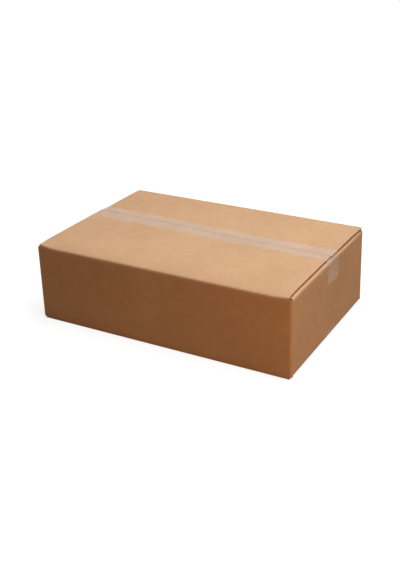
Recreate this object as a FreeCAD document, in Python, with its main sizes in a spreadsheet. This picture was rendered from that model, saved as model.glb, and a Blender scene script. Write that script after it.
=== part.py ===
import FreeCAD, Part
import math
import os
import re

import Sketcher

# A closed shipping carton, folded from one sheet of corrugated board and taped along its
# top and bottom seams. Millimetres, +Z up, X along the length, origin under the middle.

# Driving dimensions: name, value, what it is.
SIZES = [
    ("box_length", 480, "outside length of the folded box"),
    ("box_width", 315, "outside width of the folded box"),
    ("box_height", 144, "outside height over the long flaps"),
    ("board", 4, "thickness of the corrugated board"),
    ("long_fold_bend", 0.5, "inside radius of a long flap's fold"),
    ("short_fold_bend", 2.5, "inside radius of a short flap's fold"),
    ("corner_bend", 0.5, "inside radius of an upright fold"),
    ("slot_margin", 0.5, "what a flap's end stands back from the fold beside it"),
    ("flap_clearance", 0.3, "air between a long flap and the short flap under it"),
    ("seam_gap", 1.5, "gap where the two long flaps meet"),
    ("top_seam_offset", 21, "how far the top seam lies behind the middle"),
    ("bottom_seam_offset", 8, "how far the bottom seam lies behind the middle"),
    ("short_flap_depth", 150, "how far a short flap reaches in from its end of the box"),
    ("glue_tab_width", 35, "width of the glued tab that closes the ring of panels"),
    ("glue_tab_taper", 10, "how much the tab narrows at each end of its free edge"),
    ("glue_tab_margin", 2, "air between the tab and the short flaps"),
    ("joint_gap", 0.6, "width of the joint line beside the cut panel edge"),
    ("joint_depth", 2, "depth of the joint line"),
    ("tape_width", 48, "width of the sealing tape"),
    ("tape_thickness", 0.1, "thickness of the sealing tape"),
    ("top_tape_tab", 46, "how far the top tape reaches down each end"),
    ("bottom_tape_tab", 16, "how far the bottom tape reaches up each end"),
]

# Lengths that follow from the driving dimensions.
RULES = {
    "end_x": "box_length / 2",
    "side_y": "box_width / 2",
    "long_radius": "board + long_fold_bend",
    "short_radius": "board + short_fold_bend",
    "corner_radius": "board + corner_bend",
    "flap_setback": "max(long_radius; corner_radius) + slot_margin",
    "step_down": "board + flap_clearance",
    "short_fold": "step_down + short_radius",
    "glue_tab_inset": "short_fold + glue_tab_margin",
    "bridge_run": "flap_setback - short_radius",
    "bridge_angle": "atan2(short_fold; bridge_run)"
                    " - asin(short_radius / sqrt(bridge_run ^ 2 + short_fold ^ 2))",
}

SHEET = "Sizes"


def make_sheet(doc):
    """Writes the driving dimensions into the document's spreadsheet."""
    sheet = doc.addObject("Spreadsheet::Sheet", SHEET)
    for row, (name, value, note) in enumerate(SIZES, start=1):
        sheet.set(f"A{row}", name)
        sheet.set(f"B{row}", str(value))
        sheet.setAlias(f"B{row}", name)
        sheet.set(f"C{row}", note)
    doc.recompute()
    return sheet


def bound(text):
    """Turns a formula of plain names into an expression that reads the spreadsheet."""
    words = re.compile(r"\b(" + "|".join(RULES) + r")\b")
    while words.search(text):
        text = words.sub(lambda found: "(" + RULES[found.group(1)] + ")", text)
    cells = "|".join(name for name, value, note in SIZES)
    return re.sub(rf"\b({cells})\b", SHEET + r".\1", text)


def number(obj, text):
    """The present value of a formula, as a plain number."""
    value = obj.evalExpression(bound(text))
    return float(getattr(value, "Value", value))


def origin_plane(body, role):
    """One of the body's own origin planes."""
    return next(item for item in body.Origin.OriginFeatures if item.Role == role)


def make_sketch(body, name, role, offset=None):
    """A sketch on one of the body's origin planes, moved off it by a formula."""
    sketch = body.newObject("Sketcher::SketchObject", name)
    sketch.AttachmentSupport = [(origin_plane(body, role), "")]
    sketch.MapMode = "FlatFace"
    if offset:
        sketch.setExpression(".AttachmentOffset.Base.z", bound(offset))
    return sketch


def arc_between(start, end, radius, turn):
    """The shorter arc from start to end; turn is 1 for anticlockwise and -1 for clockwise."""
    chord = end - start
    height = math.sqrt(max(radius ** 2 - (chord.Length / 2) ** 2, 0))
    inward = FreeCAD.Vector(-chord.y, chord.x, 0).normalize() * turn
    centre = (start + end) * 0.5 + inward * height
    first, last = (start, end) if turn > 0 else (end, start)
    angles = [math.atan2(p.y - centre.y, p.x - centre.x) for p in (first, last)]
    if angles[1] < angles[0]:
        angles[1] += 2 * math.pi
    circle = Part.Circle(centre, FreeCAD.Vector(0, 0, 1), radius)
    return Part.ArcOfCircle(circle, angles[0], angles[1])


def draw_outline(sketch, name, points, arcs=None):
    """Draws a closed outline whose points, and the radii of its arcs, are bound to the sheet.

    points holds a pair of formulas for each corner. arcs gives, for the corner that an arc
    starts from, its radius formula and its turn, 1 for anticlockwise and -1 for clockwise.
    """
    arcs = arcs or {}
    places = [FreeCAD.Vector(number(sketch, x), number(sketch, y), 0) for x, y in points]
    base = sketch.GeometryCount
    count = len(points)
    starts = []
    ends = []
    for index, place in enumerate(places):
        after = places[(index + 1) % count]
        if index in arcs:
            radius, turn = arcs[index]
            sketch.addGeometry(arc_between(place, after, number(sketch, radius), turn), False)
            starts.append(1 if turn > 0 else 2)
            ends.append(2 if turn > 0 else 1)
        else:
            sketch.addGeometry(Part.LineSegment(place, after), False)
            starts.append(1)
            ends.append(2)
    for index in range(count):
        after = (index + 1) % count
        sketch.addConstraint(Sketcher.Constraint(
            "Coincident", base + index, ends[index], base + after, starts[after]))
    for index, (x, y) in enumerate(points):
        bind(sketch, f"{name}_{index}_x", x,
             ("DistanceX", -1, 1, base + index, starts[index], places[index].x))
        bind(sketch, f"{name}_{index}_y", y,
             ("DistanceY", -1, 1, base + index, starts[index], places[index].y))
    for index, (radius, turn) in arcs.items():
        bind(sketch, f"{name}_{index}_radius", radius,
             ("Radius", base + index, number(sketch, radius)))


def bind(sketch, name, formula, constraint):
    """Adds a named constraint and binds it to the sheet."""
    index = sketch.addConstraint(Sketcher.Constraint(*constraint))
    sketch.renameConstraint(index, name)
    sketch.setExpression(f"Constraints.{name}", bound(formula))


def pad(body, sketch, name, length, symmetric):
    """Thickens a sketch into board or film."""
    feature = body.newObject("PartDesign::Pad", name)
    feature.Profile = sketch
    feature.SideType = "Symmetric" if symmetric else "One side"
    feature.setExpression("Length", bound(length))
    body.Tip = feature
    return feature


def side_of(side, distance_in):
    """A coordinate on one side of the middle, measured inwards from the outside face."""
    return {1: "{0} - ({1})", -1: "-({0} - ({1}))"}[side].format("{0}", distance_in)


def level_of(level, depth):
    """A height measured inwards from the top face or from the bottom face."""
    return f"box_height - ({depth})" if level == "top" else f"({depth})"


def draw_panels(body):
    """The four panels in one ring, with the cut edge and joint line at the back left."""
    sketch = make_sketch(body, "panel_section", "XY_Plane", "long_radius")
    left = "-end_x + board"
    draw_outline(sketch, "outside", [
        ("-end_x + corner_radius", "-side_y"),
        ("end_x - corner_radius", "-side_y"),
        ("end_x", "-side_y + corner_radius"),
        ("end_x", "side_y - corner_radius"),
        ("end_x - corner_radius", "side_y"),
        (left + " + joint_gap", "side_y"),
        (left + " + joint_gap", "side_y - joint_depth"),
        (left, "side_y - joint_depth"),
        (left, "side_y"),
        ("-end_x", "side_y"),
        ("-end_x", "-side_y + corner_radius"),
    ], {1: ("corner_radius", 1), 3: ("corner_radius", 1), 10: ("corner_radius", 1)})
    draw_outline(sketch, "inside", [
        ("-end_x + corner_radius", "-side_y + board"),
        ("end_x - corner_radius", "-side_y + board"),
        ("end_x - board", "-side_y + corner_radius"),
        ("end_x - board", "side_y - corner_radius"),
        ("end_x - corner_radius", "side_y - board"),
        (left, "side_y - board"),
        (left, "-side_y + corner_radius"),
    ], {1: ("corner_bend", 1), 3: ("corner_bend", 1), 6: ("corner_bend", 1)})
    return pad(body, sketch, "panels", "box_height - 2 * long_radius", False)


def cut_slots(body):
    """Takes the end panels down to the short flaps' folds, between the corner slots."""
    sketch = make_sketch(body, "slot_section", "YZ_Plane")
    half = "side_y - flap_setback"
    for level in ("top", "bottom"):
        fold = level_of(level, "short_fold")
        edge = level_of(level, "long_radius")
        draw_outline(sketch, level, [
            (f"-({half})", fold), (half, fold), (half, edge), (f"-({half})", edge)])
    pocket = body.newObject("PartDesign::Pocket", "slots")
    pocket.Profile = sketch
    pocket.SideType = "Symmetric"
    pocket.Type = "ThroughAll"
    body.Tip = pocket
    return pocket


def draw_fold(sketch, name, side, level, face, drop, reach, kind):
    """The section of one flap: a rounded fold out of its panel, then the flat flap.

    side and face give the panel, drop how far the flap lies under the outside of the box,
    reach is the formula of the flap's free edge, and kind is long or short.
    """
    turned = 1 if (side > 0) == (level == "top") else -1
    root = level_of(level, f"{drop} + {kind}_radius")
    bend = side_of(side, f"{kind}_radius").format(face)
    draw_outline(sketch, name, [
        (side_of(side, "0").format(face), root),
        (bend, level_of(level, drop)),
        (reach, level_of(level, drop)),
        (reach, level_of(level, f"{drop} + board")),
        (bend, level_of(level, f"{drop} + board")),
        (side_of(side, "board").format(face), root),
    ], {0: (f"{kind}_radius", turned), 4: (f"{kind}_fold_bend", -turned)})


def draw_long_flaps(body):
    """The four flaps of the long panels, which meet at the taped seams."""
    sketch = make_sketch(body, "long_flap_section", "YZ_Plane")
    for level, seam in (("top", "top_seam_offset"), ("bottom", "bottom_seam_offset")):
        for place, side, sign in (("front", -1, "-"), ("back", 1, "+")):
            draw_fold(sketch, f"{level}_{place}", side, level, "side_y", "0",
                      f"{seam} {sign} seam_gap / 2", "long")
    return pad(body, sketch, "long_flaps", "box_length - 2 * flap_setback", True)


def draw_short_flaps(body):
    """The four flaps of the end panels, which lie one board further in."""
    sketch = make_sketch(body, "short_flap_section", "XZ_Plane")
    for level in ("top", "bottom"):
        for place, side in (("left", -1), ("right", 1)):
            draw_fold(sketch, f"{level}_{place}", side, level, "end_x", "step_down",
                      side_of(side, "short_flap_depth").format("end_x"), "short")
    return pad(body, sketch, "short_flaps", "box_width - 2 * flap_setback", True)


def draw_glue_tab(body):
    """The tab folded from the back panel and glued inside the left end panel."""
    sketch = make_sketch(body, "glue_tab_outline", "YZ_Plane", "-end_x + board")
    root = "side_y - board"
    free = "side_y - board - glue_tab_width"
    draw_outline(sketch, "tab", [
        (free, level_of("bottom", "glue_tab_inset + glue_tab_taper")),
        (root, level_of("bottom", "glue_tab_inset")),
        (root, level_of("top", "glue_tab_inset")),
        (free, level_of("top", "glue_tab_inset + glue_tab_taper")),
    ])
    return pad(body, sketch, "glue_tab", "board", False)


def make_carton(doc):
    """The folded sheet of board: panels, slots, flaps and glued tab in one piece."""
    body = doc.addObject("PartDesign::Body", "carton")
    body.Label = "carton"
    draw_panels(body)
    cut_slots(body)
    draw_long_flaps(body)
    draw_short_flaps(body)
    draw_glue_tab(body)
    body.setExpression("Placement.Base.z", bound("tape_thickness"))
    return body


def tape_side(side, depth_end):
    """Half of a tape's section: its inner and outer points, from the middle to the tab."""
    centre = "end_x - short_radius"
    inner = [
        ("end_x - flap_setback", "0"),
        (f"{centre} + short_radius * sin(bridge_angle)",
         "-short_fold + short_radius * cos(bridge_angle)"),
        ("end_x", "-short_fold"),
        ("end_x", f"-{depth_end}"),
    ]
    film = "(short_radius + tape_thickness)"
    outer = [
        ("end_x - flap_setback + tape_thickness * tan(bridge_angle / 2)", "tape_thickness"),
        (f"{centre} + {film} * sin(bridge_angle)", f"-short_fold + {film} * cos(bridge_angle)"),
        ("end_x + tape_thickness", "-short_fold"),
        ("end_x + tape_thickness", f"-{depth_end}"),
    ]
    if side < 0:
        inner = [(f"-({x})", z) for x, z in inner]
        outer = [(f"-({x})", z) for x, z in outer]
    return inner, outer


def make_tape(doc, name, tab, seam):
    """A strip of tape along a seam, over the step at each end and onto the end panels.

    It is drawn on a face at z = 0 with the box under it.
    """
    body = doc.addObject("PartDesign::Body", name)
    body.Label = name
    sketch = make_sketch(body, f"{name}_section", "XZ_Plane")
    right_inner, right_outer = tape_side(1, tab)
    left_inner, left_outer = tape_side(-1, tab)
    points = left_inner[::-1] + right_inner + right_outer[::-1] + left_outer
    film = "short_radius + tape_thickness"
    draw_outline(sketch, "strip", points, {
        1: ("short_radius", -1),
        5: ("short_radius", -1),
        9: (film, 1),
        13: (film, 1),
    })
    pad(body, sketch, f"{name}_strip", "tape_width", True)
    body.setExpression("Placement.Base.y", bound(seam))
    return body


def make_parts(doc):
    """The carton and its two tapes, each in its place."""
    carton = make_carton(doc)
    top_tape = make_tape(doc, "top_tape", "top_tape_tab", "top_seam_offset")
    top_tape.setExpression("Placement.Base.z", bound("tape_thickness + box_height"))
    bottom_tape = make_tape(doc, "bottom_tape", "bottom_tape_tab", "bottom_seam_offset")
    under = FreeCAD.Rotation(FreeCAD.Vector(1, 0, 0), 180)
    bottom_tape.Placement = FreeCAD.Placement(FreeCAD.Vector(), under)
    bottom_tape.setExpression("Placement.Base.z", bound("tape_thickness"))
    return [carton, top_tape, bottom_tape]


def check(doc, parts):
    """Stops if any object failed, or if a piece is not one valid solid."""
    for item in doc.Objects:
        if "Invalid" in item.State or "Error" in item.State:
            raise RuntimeError(f"{item.Label} did not build: {item.State}")
    for piece in parts:
        if piece.Shape.isNull() or not piece.Shape.isValid():
            raise RuntimeError(f"{piece.Label} has no valid shape")
        if len(piece.Shape.Solids) != 1:
            raise RuntimeError(f"{piece.Label} is not one solid")


def export(parts):
    """Writes one file for each piece."""
    os.makedirs("parts", exist_ok=True)
    for piece in parts:
        piece.Shape.exportStep(f"parts/{piece.Label}.step")
        box = piece.Shape.BoundBox
        print(f"{piece.Label}: {piece.Shape.Volume:.0f} mm3, "
              f"{box.XLength:.1f} x {box.YLength:.1f} x {box.ZLength:.1f} mm")


def main():
    doc = FreeCAD.newDocument("closed_carton")
    make_sheet(doc)
    parts = make_parts(doc)
    doc.recompute()
    check(doc, parts)
    export(parts)


main()
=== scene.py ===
import math

import bpy
import numpy as np
from mathutils import Matrix, Vector, noise


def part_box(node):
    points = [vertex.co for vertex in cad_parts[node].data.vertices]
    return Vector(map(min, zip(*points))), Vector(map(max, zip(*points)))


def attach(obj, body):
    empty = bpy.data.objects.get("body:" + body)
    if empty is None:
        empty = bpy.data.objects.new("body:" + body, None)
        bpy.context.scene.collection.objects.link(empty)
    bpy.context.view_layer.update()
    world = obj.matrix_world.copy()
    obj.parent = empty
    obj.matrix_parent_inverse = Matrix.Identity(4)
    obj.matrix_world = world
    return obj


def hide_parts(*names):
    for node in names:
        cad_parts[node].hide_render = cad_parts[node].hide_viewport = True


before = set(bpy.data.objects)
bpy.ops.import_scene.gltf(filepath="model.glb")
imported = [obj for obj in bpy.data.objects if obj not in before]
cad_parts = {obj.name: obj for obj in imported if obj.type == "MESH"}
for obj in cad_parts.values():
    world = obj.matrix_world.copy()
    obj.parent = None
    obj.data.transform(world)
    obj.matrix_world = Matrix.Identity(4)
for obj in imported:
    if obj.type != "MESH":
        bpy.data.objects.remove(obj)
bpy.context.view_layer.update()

bl_info = {
    "name": "Taped carton",
    "version": (1, 0, 0),
    "blender": (4, 5, 0),
    "location": "View3D > Sidebar > Carton",
    "description": "Folds a corrugated carton from one sheet, seals it with clear tape and lights it",
    "category": "Object",
}

MM = 0.001
ROOT = "root"
UP = np.array([0.0, 0.0, 1.0])

CARTON_LOW, CARTON_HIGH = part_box("carton")
TOP_TAPE_LOW, TOP_TAPE_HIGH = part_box("top_tape")
BOTTOM_TAPE_LOW, BOTTOM_TAPE_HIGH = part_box("bottom_tape")
END_X = CARTON_HIGH.x
SIDE_Y = CARTON_HIGH.y
FLOOR_Z = CARTON_LOW.z
LID_Z = CARTON_HIGH.z
MIDDLE_Z = (FLOOR_Z + LID_Z) / 2

# How near counts as the same place, coarsely and finely.
NEAR = 0.1 * MM
HAIR = 0.01 * MM

# Driving sizes of the board, the same as the solid's, with the seams under the middle of the tapes.
BOARD = 4.0 * MM
LONG_RADIUS = BOARD + 0.5 * MM
SHORT_RADIUS = BOARD + 2.5 * MM
CORNER_RADIUS = BOARD + 0.5 * MM
SETBACK = LONG_RADIUS + 0.5 * MM
STEP_DOWN = BOARD + 0.3 * MM
SHORT_FOLD = STEP_DOWN + SHORT_RADIUS
SHORT_FLAP_DEPTH = 150 * MM
SLOT_GAP = 0.5 * MM
TAB_WIDTH = 35 * MM
TAB_INSET = SHORT_FOLD + 2 * MM
TAB_TAPER = 10 * MM
TOP_SEAM = (TOP_TAPE_LOW.y + TOP_TAPE_HIGH.y) / 2
BOTTOM_SEAM = (BOTTOM_TAPE_LOW.y + BOTTOM_TAPE_HIGH.y) / 2

# The sheet's liners, the glue under its tab, and its gap at the seams as the photo shows it.
LINER = 0.35 * MM
GLUE_GAP = 0.1 * MM
SEAM_GAP = 0.8 * MM

# How finely the sheet is divided, and how sharply it folds: 1 is round, and more is sharper.
FLAT_STEP = 8 * MM
BEND_STEPS = 6
SCORE_MARGIN = 2.0 * MM
CREASE = 1.5

# How far the liner is pressed in at a fold, at the least and by its roughness.
PRESS = 0.12 * MM
ROUGH_PRESS = 0.30 * MM

# How far the fluted middle lies behind a cut edge: evenly, in waves and in short tears. It
# starts a little inside the liner, whose own cut is painted less dark than the middle's; that
# darkening is partly the fluted middle's own tone and partly painted shade.
RECESS = 0.7 * MM
WAVE_RECESS = 1.6 * MM
TEAR_RECESS = 0.7 * MM
RECESS_START = 1.2 * LINER
LINER_EDGE_SHADE = 0.35

# How far the panels of the closed box bow in, and its lid and floor sag.
END_BOW = 1.0 * MM
SIDE_BOW = 1.6 * MM
TOP_SAG = 1.5 * MM
BOTTOM_SAG = 0.4 * MM

# How far the top of the right end leans in, and how much more at its back than at its middle.
END_LEAN = 3.0 * MM
END_TWIST = 0.4 * MM

# The front top edge droops: how far, how wide a strip, how far from the lid and the ends it
# fades, and what share is left at the corners.
DROOP = 5.6 * MM
DROOP_WIDTH = 12 * MM
DROOP_BAND = 30 * MM
DROOP_FADE = 25 * MM
RIGHT_DROOP = 0.45
LEFT_DROOP = 0.20

# How far the top seam and its tape run out of square, from the middle of the box to an end,
# and how far the tape lies towards the front.
SEAM_SKEW = 10.0 * MM
TAPE_SKEW = 5.75 * MM
TAPE_SHIFT = 1.75 * MM

# How far the top long flaps stand out at the ends, and over which stretches that comes in.
BACK_SLIP = 1.6 * MM
BACK_CORNER_SLIP = 2.4 * MM
FRONT_SLIP = 0.2 * MM
LEFT_SLIP = 2.0 * MM
SLIP_BAND = 60 * MM
SLIP_FADE = 50 * MM
CORNER_SLIP_FROM = 75 * MM
CORNER_SLIP_FADE = 80 * MM

# How far and where the right short flap sinks at its fold, and how far the corner posts sink.
DEEP_SINK = 1.1 * MM
DEEP_SINK_Y = 85 * MM
DEEP_SINK_WIDTH = 42 * MM
SMALL_SINK = 0.4 * MM
SMALL_SINK_Y = -60 * MM
SMALL_SINK_WIDTH = 30 * MM
SINK_FADE = 4 * MM
POST_SINK = 2.5 * MM

# How finely the tape is divided, over its fold in degrees, how far up a tab its cut end draws
# the rows along, and how near to each other its two faces' edges are welded.
TAPE_STEP = 4 * MM
TAPE_TAB_STEP = 3 * MM
TAPE_FOLD_STEP = 5
PULL_FADE = 12 * MM
WELD = 0.002 * MM

# Where the film on the top tape's tabs is painted paler, as painted light: from and to below the lid,
# and never near the floor.
TAB_LIGHT_FROM = 20 * MM
TAB_LIGHT_TO = 28 * MM
TAB_LIGHT_FADE = 5 * MM

# The camera sees the floor glow a little less near the box, so that the shadow shows.
NEAR_GLOW = 0.80
GLOW_FROM = 0.35
GLOW_TO = 0.90
FLOOR_GREY = (0.30, 0.30, 0.30)
WHITE = (1.0, 1.0, 1.0)

# Where the camera looks, and where the lamps stand, how wide they are and where one looks.
CAMERA_AIM = (0.0, 0.0, 70 * MM)
KEY_PLACE = (0.45, 0.10, 1.9)
KEY_WIDTH = 1.6
SIDE_PLACE = (2.4, -0.2, 0.9)
SIDE_WIDTH = 1.4
FRONT_PLACE = (0.66, -0.80, 0.26)
FRONT_WIDTH = 0.5
FRONT_AIM = (0.15, 0.0, MIDDLE_Z)


def divide(marks, step):
    """Distances from mark to mark, with even steps of about the given length between them."""
    places = []
    for low, high in zip(marks, marks[1:]):
        count = max(1, round((high - low) / step))
        places += [low + (high - low) * i / count for i in range(count)]
    return places + [marks[-1]]


class Ring:
    """The columns of the sheet round the box: where each stands, and which way it faces."""

    def __init__(self):
        self.spot = []
        self.face = []
        self.along = []
        self.run = {}
        self.length = 0.0

    def straight(self, name, start, heading, marks):
        """A flat panel; a column that ends the run before is shared with it."""
        heading = np.array(heading, float)
        facing = np.array([heading[1], -heading[0]])
        first = len(self.spot) - 1 if self.spot else 0
        for distance in divide(marks, FLAT_STEP):
            if distance == marks[0] and self.spot:
                continue
            self.add(np.array(start) + heading * distance, facing, self.length + distance)
        self.length += marks[-1]
        self.run[name] = (first, len(self.spot) - 1)

    def bend(self, name, facing):
        """A quarter turn to the left, round an upright fold."""
        facing = np.array(facing, float)
        heading = np.array([-facing[1], facing[0]])
        centre = self.spot[-1] - facing * CORNER_RADIUS
        first = len(self.spot) - 1
        for i in range(1, BEND_STEPS + 1):
            angle = math.pi / 2 * i / BEND_STEPS
            turned = facing * math.cos(angle) + heading * math.sin(angle)
            self.add(centre + turned * CORNER_RADIUS, turned, self.length + CORNER_RADIUS * angle)
        self.length += CORNER_RADIUS * math.pi / 2
        self.run[name] = (first, len(self.spot) - 1)

    def add(self, spot, face, along):
        self.spot.append(spot)
        self.face.append(face)
        self.along.append(along)

    def nearest(self, run, distance):
        """The column of a run that lies at a distance from the run's start."""
        first, last = self.run[run]
        wanted = self.along[first] + distance
        return min(range(first, last + 1), key=lambda i: abs(self.along[i] - wanted))


def fold_ring():
    """The ring of four panels, from the cut edge at the back left round to the glued tab."""
    ring = Ring()
    corner = SETBACK - CORNER_RADIUS
    end = 2 * SIDE_Y - CORNER_RADIUS
    side = 2 * END_X - 2 * CORNER_RADIUS
    inner_end = end - CORNER_RADIUS
    back = side - BOARD - GLUE_GAP
    ring.straight("left", (-END_X, SIDE_Y), (0, -1),
                  (0, SETBACK, SETBACK + SLOT_GAP, end - corner - SLOT_GAP, end - corner, end))
    ring.bend("front_left", (-1, 0))
    ring.straight("front", (-END_X + CORNER_RADIUS, -SIDE_Y), (1, 0),
                  (0, corner, side - corner, side))
    ring.bend("front_right", (0, -1))
    ring.straight("right", (END_X, -SIDE_Y + CORNER_RADIUS), (0, 1),
                  (0, corner, corner + SLOT_GAP, inner_end - corner - SLOT_GAP,
                   inner_end - corner, inner_end))
    ring.bend("back_right", (1, 0))
    ring.straight("back", (END_X - CORNER_RADIUS, SIDE_Y), (-1, 0), (0, corner, back))
    ring.bend("back_left", (0, 1))
    ring.straight("tab", (-END_X + BOARD + GLUE_GAP, SIDE_Y - CORNER_RADIUS), (0, -1),
                  (0, TAB_WIDTH))
    return ring


def bend_shape(radius, angle):
    """How far in and how far up a creased fold has come at an angle, from its panel."""
    inward = radius * (1 - math.cos(angle)) ** CREASE
    upward = radius * (1 - (1 - math.sin(angle)) ** CREASE)
    return inward, upward


class Sheet:
    """The folded sheet as one closed mesh: outer skin, inner skin and cut edges."""

    def __init__(self, ring):
        self.ring = ring
        self.index = {}
        self.outer = []
        self.normal = []
        self.flat = []
        self.quads = []

    def vertex(self, column, row):
        """The number of the vertex where a column and a row cross, made once."""
        key = (column, row)
        if key not in self.index:
            place, normal, height = self.fold(column, row)
            self.index[key] = len(self.outer)
            self.outer.append(place)
            self.normal.append(normal)
            self.flat.append((self.ring.along[column], height))
        return self.index[key]

    def fold(self, column, row):
        """The place of a row: a height on a panel, or a distance along a flap past its fold."""
        kind, value, side, drop = row
        spot = self.ring.spot[column]
        face = np.array([*self.ring.face[column], 0.0])
        if kind == "panel":
            height = value
            if column > self.ring.run["tab"][0]:
                height = self.tab_height(column, value)
            return np.array([*spot, height]), face, height
        level = LID_Z if side > 0 else FLOOR_Z
        radius = SHORT_RADIUS if drop else LONG_RADIUS
        root = level - side * (drop + radius)
        place = np.array([*spot, root])
        quarter = radius * math.pi / 2
        angle = min(value / radius, math.pi / 2)
        past = max(value - quarter, 0.0)
        inward, upward = bend_shape(radius, angle)
        place = place - face * (inward + past) + UP * side * upward
        if side > 0 and not drop:
            way = -face[1]
            depth = SIDE_Y + way * TOP_SEAM - SEAM_GAP / 2 - radius
            place[1] += seam_shift(place[0]) * past / depth
            place[0] += slip(place[0], place[1]) * min(value / quarter, 1.0)
        normal = face * math.cos(angle) + UP * side * math.sin(angle)
        return place, normal, root + side * value

    def tab_height(self, column, height):
        """The glued tab narrows towards its free edge."""
        first, last = self.ring.run["tab"]
        start, end = self.ring.along[first], self.ring.along[last]
        share = (self.ring.along[column] - start) / (end - start)
        full = LID_Z - MIDDLE_Z - SHORT_FOLD
        kept = LID_Z - MIDDLE_Z - TAB_INSET - TAB_TAPER
        return MIDDLE_Z + (height - MIDDLE_Z) * (1 + (kept / full - 1) * share)

    def patch(self, first, last, rows):
        """Covers the columns from first to last, over the given rows in upward order."""
        for column in range(first, last):
            for low, high in zip(rows, rows[1:]):
                self.quads.append((self.vertex(column, low), self.vertex(column + 1, low),
                                   self.vertex(column + 1, high), self.vertex(column, high)))


def panel_rows(marks):
    return [("panel", z, 0, 0.0) for z in divide(marks, FLAT_STEP)]


def flap_rows(side, drop, depth, first_row):
    """The rows of a flap from its fold to its free edge; its first row is the panel's last."""
    radius = SHORT_RADIUS if drop else LONG_RADIUS
    quarter = radius * math.pi / 2
    marks = [quarter * i / BEND_STEPS for i in range(1, BEND_STEPS + 1)]
    flat = divide([quarter, quarter + SCORE_MARGIN, quarter + depth - radius], FLAT_STEP)
    rows = [first_row] + [("flap", v, side, drop) for v in marks + flat[1:]]
    return rows if side > 0 else rows[::-1]


def lay_out_sheet():
    """Folds every panel, flap and tab of the carton from the one sheet."""
    ring = fold_ring()
    sheet = Sheet(ring)
    low, high = FLOOR_Z + SHORT_FOLD, LID_Z - SHORT_FOLD
    panels = panel_rows([low, low + SCORE_MARGIN, high - SCORE_MARGIN, high])
    sheet.patch(0, len(ring.spot) - 1, panels)
    top_rim = panel_rows([high, LID_Z - LONG_RADIUS])
    bottom_rim = panel_rows([FLOOR_Z + LONG_RADIUS, low])
    corner = SETBACK - CORNER_RADIUS
    end = ring.nearest("left", 2 * SIDE_Y - SETBACK)
    right_start = ring.nearest("right", corner)
    right_end = ring.nearest("right", 2 * SIDE_Y - CORNER_RADIUS - SETBACK)
    rims = [
        (0, ring.nearest("left", SETBACK)),
        (end, right_start),
        (right_end, ring.run["back_left"][1]),
    ]
    for first, last in rims:
        sheet.patch(first, last, top_rim)
        sheet.patch(first, last, bottom_rim)
    side = 2 * END_X - 2 * CORNER_RADIUS
    front = (ring.nearest("front", corner), ring.nearest("front", side - corner))
    back = (ring.nearest("back", corner), ring.run["back"][1])
    seam = {1: TOP_SEAM, -1: BOTTOM_SEAM}
    for level in (1, -1):
        edge = top_rim[-1] if level > 0 else bottom_rim[0]
        for columns, way in ((front, 1), (back, -1)):
            depth = SIDE_Y + way * seam[level] - SEAM_GAP / 2
            sheet.patch(*columns, flap_rows(level, 0.0, depth, edge))
    short_flaps = [
        (ring.nearest("left", SETBACK + SLOT_GAP),
         ring.nearest("left", 2 * SIDE_Y - SETBACK - SLOT_GAP)),
        (ring.nearest("right", corner + SLOT_GAP),
         ring.nearest("right", 2 * SIDE_Y - CORNER_RADIUS - SETBACK - SLOT_GAP)),
    ]
    for level in (1, -1):
        edge = panels[-1] if level > 0 else panels[0]
        for columns in short_flaps:
            sheet.patch(*columns, flap_rows(level, STEP_DOWN, SHORT_FLAP_DEPTH, edge))
    return sheet


def ripple(point, size, seed):
    """Smooth noise from -1 to 1 that changes over about the given length."""
    offset = Vector((seed * 7.3, seed * 3.1, seed * 5.7))
    return noise.noise(Vector(point) / size + offset)


def border_of(quads):
    """The sheet's cut edges, each with the face on its left."""
    sides = set()
    for quad in quads:
        for i in range(4):
            sides.add((quad[i], quad[(i + 1) % 4]))
    return sorted(edge for edge in sides if (edge[1], edge[0]) not in sides)


def inward_of(border, outer, normal):
    """For each vertex of a cut edge, the direction into the sheet."""
    inward = {}
    for a, b in border:
        along = outer[b] - outer[a]
        along = along / np.linalg.norm(along)
        for v in (a, b):
            inward[v] = inward.get(v, np.zeros(3)) + np.cross(normal[v], along)
    return {v: d / max(np.linalg.norm(d), 1e-9) for v, d in inward.items()}


def in_fold(tilt):
    """Whether a face is part of a level fold: neither upright nor flat."""
    return (tilt > 0.01) & (tilt < 0.99)


def crush(place, normal):
    """How far the outer liner is pressed in at a fold, in metres."""
    tilt = abs(normal[2])
    bend = 4 * tilt * (1 - tilt) if in_fold(tilt) else 0.0
    rough = 0.5 + 0.5 * ripple(place, 9 * MM, 2)
    return bend * (PRESS + ROUGH_PRESS * rough)


def recess_depth(place):
    """How far the fluted middle lies behind a cut edge."""
    wave = 0.5 + 0.5 * ripple(place, 22 * MM, 4)
    tear = 0.5 + 0.5 * ripple(place, 5 * MM, 5)
    return RECESS + WAVE_RECESS * wave + TEAR_RECESS * tear


def rise(value, start, length):
    """0 up to the start, 1 past the length, and straight between them."""
    return np.clip((value - start) / length, 0, 1)


def swell(value, middle, width):
    """1 at the middle, and smoothly less on both sides."""
    return np.exp(-((value - middle) / width) ** 2)


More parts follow.
